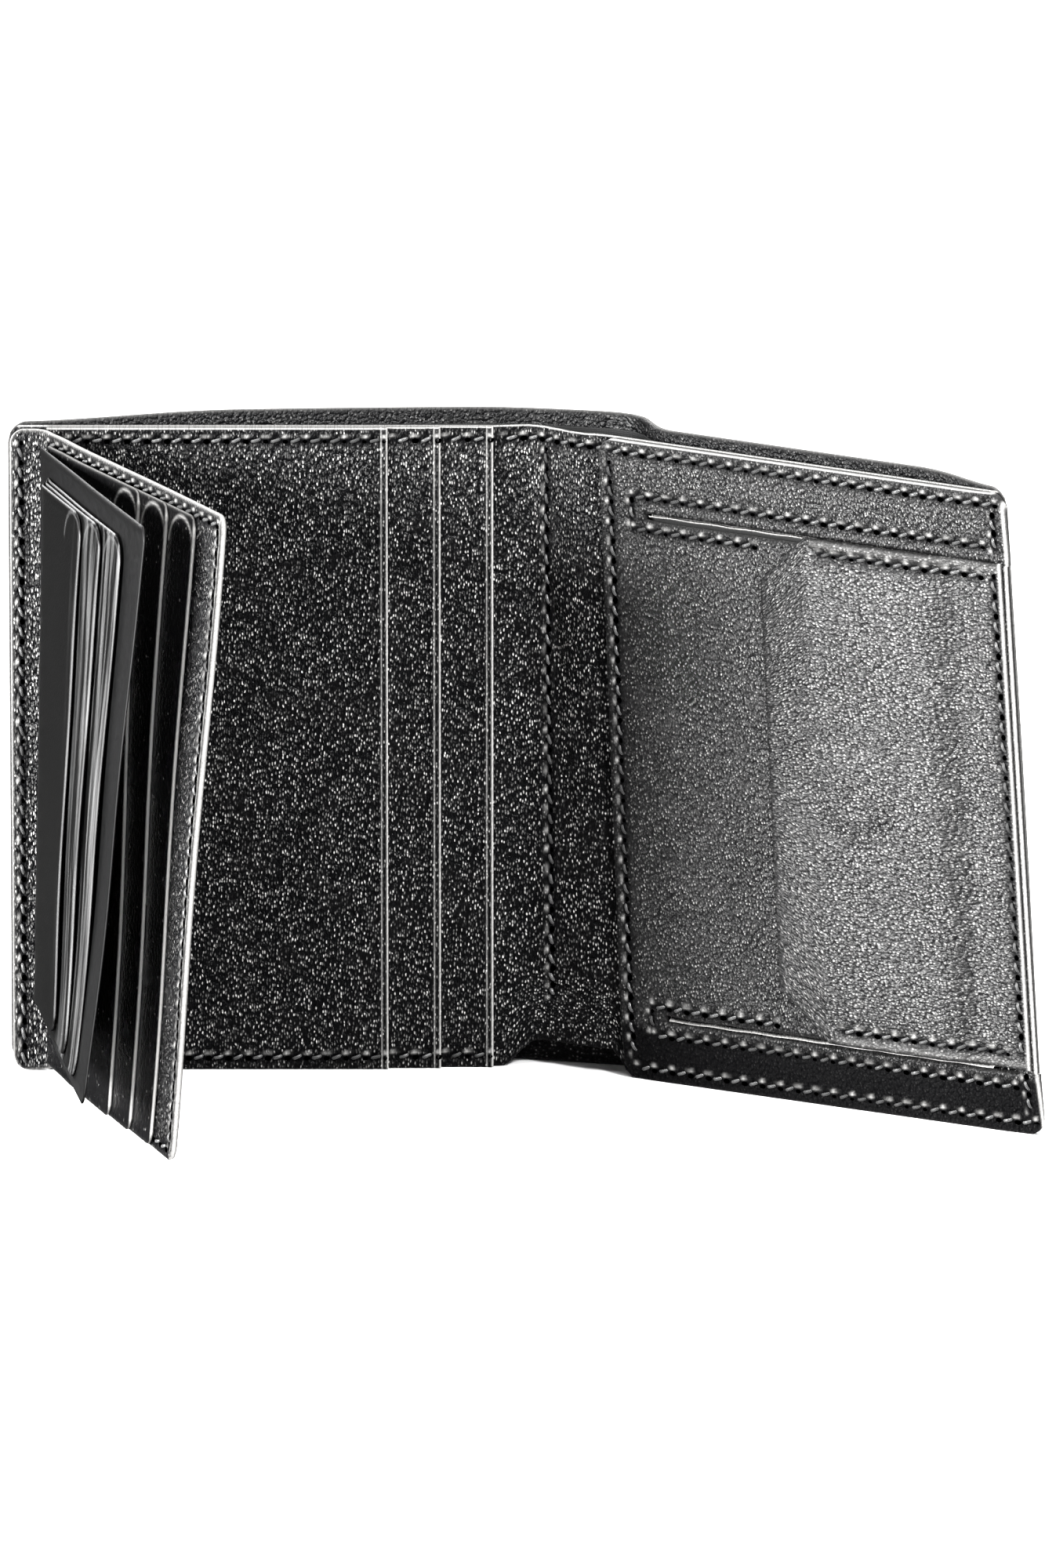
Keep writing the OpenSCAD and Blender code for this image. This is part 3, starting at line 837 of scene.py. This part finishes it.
STRIP_ROW = 1.5
LEAF_END_ROW = SKIN_L - 1.5
LEAF_TOP_ROW = INNER_H - 1.6
strip_rows = [((STRIP_ROW, 2.2), (STRIP_ROW, INNER_H - 2.0))]
leaf_rows = [
    ((7.5, LEAF_TOP_ROW), (SKIN_L - 1.4, LEAF_TOP_ROW)),
    ((LEAF_END_ROW, 4.0), (LEAF_END_ROW, INNER_H - 2.6)),
    ((9.0, LEAF_FOOT + 1.6), (SKIN_L - 2.4, LEAF_FOOT + 1.6)),
]


def leaf_wave(q, v, start):
    """The leaf's slow waves, which begin at start."""
    return 0.25 * np.sin(v / 13.0 + q / 16.0) * smooth((q - start) / 10)


def skin_front(q, v):
    return 0.55 + leaf_wave(q, v, 12) - 0.08 * bump(SKIN_L - q, 0.85, 0.16)


def skin_back(q, v):
    return -0.45 + leaf_wave(q, v, 12)


def on_skin_foot(q, v, n):
    """Along the strip the leaf's leather reaches the panel's foot."""
    low_part = (1 - smooth((v - LEAF_FOOT) / 10)) * (1 - smooth((q - STRIP_L) / 8))
    return on_skin(q, v - (LEAF_FOOT - 0.2) * low_part, n)


SPLIT_Q = STRIP_L + ARC + 2.0


def skin_part(name, q0, q1, step, sides, material):
    return leather(
        name, grid(q0, q1, step, fine=(STRIP_ROW, LEAF_END_ROW)),
        grid(LEAF_FOOT, INNER_H, 0.9, fine=(LEAF_TOP_ROW,)),
        skin_front, skin_back, on_skin_foot, material,
        corner=2.2, sides=sides, rows=strip_rows + leaf_rows, worn=0.8,
        # Painted highlight: a light line on the crease beside the leaf's free edge.
        painted_highlights=lambda q, v: 0.75 * bump(SKIN_L - q, 0.85, 0.14),
    )


leaf_strip = skin_part("leaf_strip_leather", 0, SPLIT_Q, 0.5, "lbt", STRIP_LEATHER)
leaf_skin = skin_part("leaf_leather", SPLIT_Q, SKIN_L, 0.8, "rbt", LEAF_LEATHER)
leaf_stitching = stitches(
    "leaf_stitching_thread", [(leaf_rows, skin_front)], on_skin_foot, THREAD_MAT
)
strip_stitching = stitches(
    "strip_stitching", [(strip_rows, skin_front)], on_skin_foot, THREAD_MAT
)

LEAF_POCKETS = ("leaf_pocket_front", "leaf_pocket_middle", "leaf_pocket_back")
LEAF_MOUTHS = (37.8, 46.7, 55.6)
MOUTH_STEP = 8.9
ARCH_STEP = 0.4


def painted_arch_sheen(r, v, mouth, head):
    """A painted sheen line round the rounded head of the band that a layer shows beyond the one in
    front of it.
    """
    radius = MOUTH_STEP / 2 - 0.5
    d = np.hypot(r - (mouth - MOUTH_STEP / 2), v - (head - radius - 0.5))
    return 0.85 * bump(d, radius, 0.35) * smooth(v - head + radius + 1.5)


def layer_grid(a, mouth):
    """Grid lines across a layer of the leaf, close together on the band beside its mouth."""
    near = np.arange(mouth - MOUTH_STEP, mouth - 1.2, ARCH_STEP)
    return np.array(sorted(set(grid(a, mouth, 1.0, fine=(mouth - 0.9,))) | set(near)))


def head_grid(a, head):
    """Grid lines up a layer of the leaf, close together at the painted sheen arches below its head."""
    near = np.arange(head - 6.5, head - 1.0, ARCH_STEP)
    return np.array(sorted(set(grid(a, head, 1.0)) | set(near)))


leaf_layers = []
for k, (name, mouth) in enumerate(zip(LEAF_POCKETS, LEAF_MOUTHS)):
    depth = 0.62 + 0.42 * (2 - k)
    head = INNER_H - 1.3 - 0.2 * k

    def layer_back(r, v, d=depth):
        return d + leaf_wave(r, v, 8)

    def layer_face(r, v, m=mouth, back=layer_back):
        return back(r, v) + 0.42 + 0.12 * bump(m - r, 0.35, 0.3) - 0.1 * bump(m - r, 0.9, 0.16)

    # Painted sheen round the band's rounded head, and a painted highlight along the mouth.
    def layer_painted_highlights(r, v, m=mouth, h=head - 0.3):
        return np.maximum(painted_arch_sheen(r, v, m, h), bump(m - r, 0.05, 0.3))

    piece = leather(
        name + "_skin", layer_grid(4.6, mouth), head_grid(LEAF_FOOT + 0.4, head),
        layer_face, layer_back, on_leaf, SMOOTH,
        rim=0.3, corner=2.2, sides="rbt", worn=0.6, painted_highlights=layer_painted_highlights,
    )
    leaf_layers.append((piece, name))

# Sleeve page: a dark backing with three film windows, welded round their edges.
SLEEVE_W = 60.0
SLEEVE_START = 8.0
SLEEVE_FRONT = 1.8
SLEEVE_LAYER = 0.62
FILM_HALF = 0.12
sleeve_sheets = (
    ("sleeve_film", SLEEVE_W, 10.0),
    ("sleeve_window_back", 50.8, 11.5),
    ("sleeve_window_middle", 41.9, 12.6),
    ("sleeve_window_front", 33.0, 13.8),
)
film_pieces = []
for k, (name, mouth, foot) in enumerate(sleeve_sheets):
    head = 92.5 - 0.2 * k if k else 95.8

    def sheet_mid(r, v, k=k):
        raised = SLEEVE_LAYER * k * smooth((r - SLEEVE_START + 1.5) / 5)
        waves = 0.5 * np.sin(v / 17.0 + 0.9 * k + r / 21.0) + 0.28 * np.sin(v / 7.5 + k)
        return SLEEVE_FRONT + raised + waves * smooth((r - 10) / 24) * 0.45

    def sheet_face(r, v, m=mouth, f=foot, h=head, mid=sheet_mid):
        weld = bump(m - r, 0.5, 0.4) + bump(v - f, 0.5, 0.4) + bump(h - v, 0.5, 0.4)
        return mid(r, v) + FILM_HALF + 0.14 * weld

    # Painted sheen round the window's rounded head, and a painted highlight along the mouth.
    def sheet_painted_highlights(r, v, m=mouth):
        return np.maximum(painted_arch_sheen(r, v, m, 92.0), bump(m - r, 0.1, 0.35))

    piece = leather(
        name + "_sheet", layer_grid(SLEEVE_START if k else 3.4, mouth), head_grid(foot, head),
        sheet_face, lambda r, v, mid=sheet_mid: mid(r, v) - FILM_HALF,
        on_sleeve, FILM if k else PAGE, rim=0.25, corner=4.0 if k else 2.4, sides="rbt",
        worn=0.3, painted_highlights=sheet_painted_highlights,
    )
    film_pieces.append((piece, name))

# ---------------------------------------------------------------- coin panel
SLIT_V = (9.6, 86.7)
SLIT_U = 7.8
SLIT = 0.9
MOUTH_U = 58.0
SIDE_U = 67.2
EDGE_ROW = 1.8
HEAD_ROW = 95.7
SLIT_ROW = 5.4
SIDE_ROW = 68.2
A_ROWS = [((SLIT_ROW, v), (66.5, v)) for v in (89.2, 7.3)]
B_ROWS = [((SLIT_ROW, v), (27.0, v)) for v in (84.3, 11.8)]
END_ROWS = [((SLIT_ROW, 84.9), (SLIT_ROW, 88.6)), ((SLIT_ROW, 7.9), (SLIT_ROW, 11.2))]
EDGE_ROWS = [
    ((EDGE_ROW, HEAD_ROW), (69.0, HEAD_ROW)),
    ((EDGE_ROW, EDGE_ROW), (69.0, EDGE_ROW)),
    ((EDGE_ROW, 3.6), (EDGE_ROW, 94.0)),
]
SIDE_ROWS = [((SIDE_ROW, 3.4), (SIDE_ROW, 9.0)), ((SIDE_ROW, 88.5), (SIDE_ROW, 94.0))]


def tongue(u, v):
    """1 on the pocket's front, which stands higher than the borders."""
    inside = ((v > SLIT_V[0]) & (v < SLIT_V[1])).astype(float)
    return inside * smooth((u - SLIT_U + 1) / 5)


def coin_face(u, v):
    lift = tongue(u, v)
    up = np.clip((v - SLIT_V[0]) / (SLIT_V[1] - SLIT_V[0]), 0, 1)
    swell = lift * 0.12 * np.sin(np.pi * up) ** 0.5
    edge_roll = bump(v, SLIT_V[1] + 0.7, 0.4) + bump(v, SLIT_V[0] - 0.7, 0.4)
    edge_roll = 0.10 * edge_roll * smooth((u - SLIT_U) / 2)
    fall = 0.55 * smooth((u - 64) / 5)
    left = 0.12 * bump(u, 0.8, 0.6) - 0.10 * bump(u, 3.0, 1.0)
    tilted = 0.5 * np.clip((v - 88) / 9.5, 0, 1) - 1.3 * np.clip((9.0 - v) / 9.0, 0, 1)
    rolls = edge_roll - fall + left + tilted
    return BORDER_FRONT + (TONGUE_FRONT - BORDER_FRONT) * lift + swell + rolls


def coin_face_back(u, v):
    lift = tongue(u, v)
    return 7.05 + lift * 1.15


coin_rows = A_ROWS + B_ROWS + END_ROWS + EDGE_ROWS + SIDE_ROWS
slits = [
    (SLIT_U, MOUTH_U + 0.01, SLIT_V[1] - SLIT, SLIT_V[1]),
    (SLIT_U, MOUTH_U + 0.01, SLIT_V[0], SLIT_V[0] + SLIT),
    (MOUTH_U, SIDE_U, SLIT_V[0], SLIT_V[1]),
]
coin_us = grid(0, COIN_W, 0.8, fine=(EDGE_ROW, SLIT_ROW, SLIT_U, MOUTH_U, SIDE_U, SIDE_ROW))
coin_vs = grid(0, INNER_H, 0.8, fine=(EDGE_ROW, 7.3, 11.8, 84.3, 89.2, HEAD_ROW, *SLIT_V))
coin_vs = np.array(sorted(set(coin_vs) | {*SLIT_V, SLIT_V[0] + SLIT, SLIT_V[1] - SLIT}))
coin_us = np.array(sorted(set(coin_us) | {SLIT_U, MOUTH_U, SIDE_U}))
coin_skin = leather(
    "coin_face_leather", coin_us, coin_vs, coin_face, coin_face_back, on_coin, COIN_LEATHER_PAINTED_SHEEN,
    cuts=slits, corner=3.0, rim=0.55, rows=coin_rows, worn=0.22,
    # Painted shade: the border below the pocket is made darker and matt.
    painted_shade=lambda u, v: 0.95 * smooth((9.4 - v) / 1.5),
    # Painted highlights: a light line along the panel's right edge and along its head.
    painted_highlights=lambda u, v: np.maximum(bump(u, COIN_W - 0.35, 0.3), painted_rim_highlight(INNER_H - v)),
)
coin_stitching = stitches("coin_panel_stitching", [(coin_rows, coin_face)], on_coin, THREAD_MAT)

FLAP_U = 28.0
FLAP_V = (10.2, 87.0)
FLAP_END = COIN_W - 0.9
CUT_U, CUT_V = 8.0, 7.5
HINGE_U = 66.8
FLAP_ROWS = [((38.0, v), (66.0, v)) for v in (FLAP_V[1] - 2.3, FLAP_V[0] + 2.3)]
FLAP_SIDE = [((SIDE_ROW, FLAP_V[0] + 2.0), (SIDE_ROW, FLAP_V[1] - 2.0))]
SNAP = (43.0, 48.75)


def flap_lines(u, v, inset, width):
    """Lines along the flap's head and foot, inset from its edges."""
    lines = bump(v, FLAP_V[1] - inset, width) + bump(v, FLAP_V[0] + inset, width)
    return lines * smooth((u - 36) / 2)


def flap_ribbon(u, v):
    """The rolled edge along the flap's head and foot."""
    return flap_lines(u, v, 0.8, 0.75)


def flap_down(u, top, end):
    """The flap comes down to the border before the side row, and then rises a little."""
    down = smooth((u - 56.0) / 6.5)
    return top * (1 - down) + (BORDER_FRONT + end + 0.5 * smooth((u - 61.5) / 6.5)) * down


def flap_face(u, v):
    near_edge = np.minimum(u - FLAP_U, np.minimum(v - FLAP_V[0], FLAP_V[1] - v))
    from_snap = np.hypot(u - SNAP[0], v - SNAP[1])
    ribbon = 0.6 * flap_ribbon(u, v) - 0.12 * flap_lines(u, v, 1.75, 0.25)
    snap = 0.42 * smooth((7.2 - from_snap) / 3.4) - 0.10 * bump(from_snap, 7.6, 1.2)
    return flap_down(u, 9.42 + 0.5 * smooth(near_edge / 10) + ribbon + snap, -0.15)


def flap_back(u, v):
    return flap_down(u, 9.12 + 0.12 * smooth((u - 40) / 4), -0.75)


def on_flap(u, v, t):
    """The flap's free corners are cut off, so its rows close in towards its free edge."""
    k = np.clip(1 - (np.asarray(u, float) - FLAP_U) / CUT_U, 0, 1)
    mid = (FLAP_V[0] + FLAP_V[1]) / 2
    half = (FLAP_V[1] - FLAP_V[0]) / 2
    return on_coin(u, mid + (np.asarray(v, float) - mid) * (1 - k * CUT_V / half), t)


flap_us = grid(FLAP_U, FLAP_END, 0.8, fine=(FLAP_U + CUT_U,))
flap_vs = grid(FLAP_V[0], FLAP_V[1], 0.8, fine=(FLAP_ROWS[0][0][1], FLAP_ROWS[1][0][1]))
flap_skin = leather(
    "coin_flap_leather", flap_us, flap_vs, flap_face, flap_back, on_flap, FLAP_LEATHER_PAINTED_SHEEN, rim=0.45,
    rows=FLAP_ROWS + FLAP_SIDE, worn=0.12,
    # Painted highlights: a light line along the flap's right end and on its rolled head and foot.
    painted_highlights=lambda u, v: np.maximum(0.9 * bump(u, FLAP_END - 0.3, 0.3), 0.3 * flap_ribbon(u, v)),
)
flap_stitching = stitches("coin_flap_thread", [(FLAP_ROWS, flap_face)], on_flap, THREAD_MAT)
side_stitching = stitches("coin_side_thread", [(FLAP_SIDE, flap_face)], on_flap, THREAD_MAT)

# The pocket's inside and the snap, seen when the flap is open.


def flat_sheet(name, u0, u1, v0, v1, back, front, material, step=3.0):
    return leather(
        name, grid(u0, u1, step, ends=False), grid(v0, v1, step, ends=False),
        lambda u, v: front + 0 * u, lambda u, v: back + 0 * u, on_coin, material,
        rim=0.2, corner=1.5,
    )


def turned(name, profile):
    """A round metal part of the snap: profile holds its radius and depth from one end to the other."""
    around = 40
    points, faces = [], []
    for r, t in profile:
        for q in range(around):
            w = 2 * math.pi * q / around
            points.append(on_coin(SNAP[0] + r * math.cos(w), SNAP[1] + r * math.sin(w), t))
    for k in range(len(profile) - 1):
        a, b = k * around, (k + 1) * around
        for q in range(around):
            g = (q + 1) % around
            faces.append((a + q, a + g, b + g, b + q))
    faces.append(tuple(reversed(range(around))))
    faces.append(tuple((len(profile) - 1) * around + q for q in range(around)))
    return build(name, np.array(points), faces, [(0, 0)] * len(points), METAL)


board_right = flat_sheet("coin_panel_board", 1.0, 68.6, 1.0, 96.4, 6.02, 6.27, BOARD)
divider_right = flat_sheet("bill_divider_lining", 1.0, 68.6, 1.0, 96.4, 5.8, 5.98, CLOTH)
pocket_cloth = flat_sheet("coin_pocket_cloth", 5.0, 66.6, 10.2, 86.2, 7.06, 7.2, CLOTH)
flap_cloth = flat_sheet("coin_flap_cloth", 36.5, 57.5, 11.5, 85.0, 9.08, 9.2, CLOTH)
stay = flat_sheet("coin_pocket_stay", 6.0, 8.0, 10.0, 86.4, 7.2, 8.15, LEATHER, step=1.0)


PLEAT_T = (7.25, 8.3)


def pleat(v, out):
    """A folded strip of soft leather that joins the border's edge to the pocket's front."""

    def fold(u, t):
        up = (t - PLEAT_T[0]) / (PLEAT_T[1] - PLEAT_T[0])
        return 0.3 * np.sin(np.pi * up) + 0.05 * np.sin(u * 0.9)

    return leather(
        "coin_pleat_" + ("top" if out > 0 else "bottom"),
        grid(8.2, MOUTH_U + 5, 1.0, ends=False), grid(*PLEAT_T, 0.12, ends=False),
        lambda u, t: fold(u, t) + 0.16, lambda u, t: fold(u, t) - 0.02,
        lambda u, t, n: on_coin(u, v - out * n, t), LEATHER, rim=0.1,
    )


pleat_top = pleat(SLIT_V[1] - 0.1, 1)
pleat_bottom = pleat(SLIT_V[0] + 0.1, -1)
stud_t = float(coin_face(np.array(SNAP[0]), np.array(SNAP[1])))
STUD = ((3.4, -0.06), (3.4, 0.06), (2.2, 0.1), (1.3, 0.12), (0.9, 0.2))
PLATE = ((3.2, 8.02), (3.2, 8.14), (2.6, 8.18), (0.3, 8.18))
SOCKET = ((1.0, 9.3), (1.1, 9.06), (2.2, 9.02), (3.6, 9.04), (4.0, 9.12), (4.0, 9.3))
CAP = ((4.6, 9.3), (4.6, 9.5), (3.6, 9.75), (1.0, 9.95), (0.2, 9.97))
stud = turned("snap_stud_metal", [(r, stud_t + t) for r, t in STUD])
plate = turned("snap_plate_metal", PLATE)
socket = turned("snap_socket_metal", SOCKET)
cap = turned("snap_cap_metal", CAP)

# ---------------------------------------------------------------- bodies


def point(p):
    return Vector([float(x) * MM for x in p])


def tie(piece, body, slot, *replaced):
    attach(piece, body)
    if replaced:
        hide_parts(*replaced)


def tie_blend(piece, a, b, start, end, slot, *replaced):
    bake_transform(piece)
    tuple(start)
    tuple(end)
    if replaced:
        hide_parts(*replaced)


fold1 = (point(place(S1 - 5, 50, T1)), point(place(S1 + 5, 50, T1)))
fold2 = (point(place(S2 - 3.5, 50, T2)), point(place(S2 + 3.5, 50, T2)))
tie_blend(cover_left, "main_panel", "spine", *fold1, "cover_leather", "cover_main", "cover_spine")
tie_blend(cover_right, "spine", "coin_panel", *fold2, "cover_leather", "cover_coin")
tie_blend(
    lining_left, "main_panel", "spine", *fold1, "lining_cloth",
    "bill_lining_main", "bill_lining_spine",
)
tie_blend(lining_right, "spine", "coin_panel", *fold2, "lining_cloth", "bill_lining_coin")
tie_blend(
    liner_left, "main_panel", "spine", *fold1, "inner_leather",
    "inner_panel_main", "inner_panel_spine",
)
tie_blend(liner_right, "spine", "coin_panel", *fold2, "inner_leather", "inner_panel_coin")
tie(spine_stitching, "spine", "thread")
tie(pocket_stitching, "main_panel", "thread", "main_stitching")
tie(strip_stitching, "main_panel", "thread")

hinge = (point(on_skin(STRIP_L - 0.5, 50, 0)), point(on_skin(STRIP_L + ARC + 1.5, 50, 0)))
tie_blend(leaf_strip, "main_panel", "leaf", *hinge, "inner_leather", "leaf_hinge_strip")
# The leaf and the sleeve page are twisted at rest.
leaf_turn = (point((*LEAF_AXIS, 581.0)), point((*LEAF_AXIS, 2.0)))
sleeve_turn = (point((*LEAF_AXIS, 96.0)), point((*LEAF_AXIS, 6.0)))
tie_blend(leaf_skin, "main_panel", "leaf", *leaf_turn, "inner_leather", "leaf_backing")
tie_blend(leaf_stitching, "main_panel", "leaf", *leaf_turn, "thread", "leaf_stitching")
for piece, name in leaf_layers:
    tie_blend(piece, "main_panel", "leaf", *leaf_turn, "inner_leather", name)
for piece, name in film_pieces:
    tie_blend(piece, "leaf", "sleeve", *sleeve_turn, "clear_film", name)

tie(
    coin_skin, "coin_panel", "inner_leather",
    "coin_border_top", "coin_border_bottom", "coin_border_side", "coin_pocket_front",
)
tie(coin_stitching, "coin_panel", "thread", "coin_border_stitching", "coin_pocket_stitching")
flap_turn = (point(on_coin(HINGE_U + 1.8, 49, 9.2)), point(on_coin(HINGE_U - 1.8, 49, 9.4)))
tie_blend(flap_skin, "coin_panel", "coin_flap", *flap_turn, "inner_leather", "coin_flap_outer")
tie(board_right, "coin_panel", "board", "stiffener_coin")
tie(divider_right, "coin_panel", "lining_cloth", "bill_divider_coin")
tie(pocket_cloth, "coin_panel", "lining_cloth", "coin_pocket_lining")
tie(stay, "coin_panel", "inner_leather", "coin_pocket_wall")
tie(pleat_top, "coin_panel", "inner_leather", "coin_gusset_top")
tie(pleat_bottom, "coin_panel", "inner_leather", "coin_gusset_bottom")
tie(stud, "coin_panel", "snap_metal", "snap_stud")
tie(plate, "coin_panel", "snap_metal", "snap_stud_plate")
tie(flap_cloth, "coin_flap", "lining_cloth", "coin_flap_lining")
tie(socket, "coin_flap", "snap_metal", "snap_socket")
tie(cap, "coin_flap", "snap_metal", "snap_cap")
tie(side_stitching, "coin_panel", "thread")
tie(flap_stitching, "coin_flap", "thread", "coin_flap_stitching")

# The one CAD piece that stays as it is gets its finish.
slots = nodes["stiffener_main"].data.materials
if not len(slots):
    slots.append(BOARD)
for k in range(len(slots)):
    slots[k] = BOARD

# ---------------------------------------------------------------- stage, light, camera
# Metres from here on.
scene = bpy.context.scene
scene.view_settings.view_transform = "Standard"

mesh = bpy.data.meshes.new("floor")
mesh.from_pydata([(-4, -4, 0), (4, -4, 0), (4, 4, 0), (-4, 4, 0)], [], [(0, 1, 2, 3)])
floor = bpy.data.objects.new("floor", mesh)
scene.collection.objects.link(floor)
floor.data.materials.append(
    plain_material("floor_white", (0.86, 0.86, 0.86), 0.9, 30, 0.05, spread=0.01)
)
floor.visible_glossy = False

CENTRE = Vector((0.0399, 0.0, 0.0417))


def softbox(name, direction, distance, size, power, aim=CENTRE):
    data = bpy.data.lights.new(name, "AREA")
    data.shape = "RECTANGLE"
    data.size, data.size_y = size
    data.energy = power
    lamp = bpy.data.objects.new(name, data)
    scene.collection.objects.link(lamp)
    d = Vector(direction).normalized()
    lamp.location = aim + d * distance
    lamp.rotation_euler = d.to_track_quat("Z", "Y").to_euler()
    return lamp


softbox("overhead", (0.0, -0.1, 1.0), 1.6, (1.8, 1.8), 60)
softbox("key_left", (-0.86, -0.44, 0.17), 0.5, (0.18, 0.16), 10, Vector((0.085, -0.03, 0.065)))
softbox("front_right", (0.5, -0.72, 0.62), 0.42, (0.07, 0.07), 2.8, Vector((0.01, 0, 0.09)))
softbox("rim_back", (0.2, 0.75, 0.6), 1.2, (0.8, 0.4), 10)
softbox("back_fill", (-0.45, 0.85, 0.3), 1.4, (0.5, 0.7), 14)

world = bpy.data.worlds.new("studio")
world.use_nodes = True
scene.world = world
tree = world.node_tree
sky = tree.nodes["Background"]
sky.inputs["Color"].default_value = (1, 1, 1, 1)
sky.inputs["Strength"].default_value = 0.04

camera = bpy.data.cameras.new("photo_view")
camera.sensor_fit = "VERTICAL"
camera.sensor_height = 36
DISTANCE = 2.8
VIEW_HEIGHT = 0.2326
camera.lens = 36 * DISTANCE / VIEW_HEIGHT
camera.clip_start = 0.05
camera.clip_end = 20
view = bpy.data.objects.new("photo_view", camera)
scene.collection.objects.link(view)
ELEVATION = math.radians(13.5)
view.location = CENTRE + DISTANCE * Vector((0, -math.cos(ELEVATION), math.sin(ELEVATION)))
view.rotation_euler = (math.pi / 2 - ELEVATION, 0, 0)
scene.camera = view
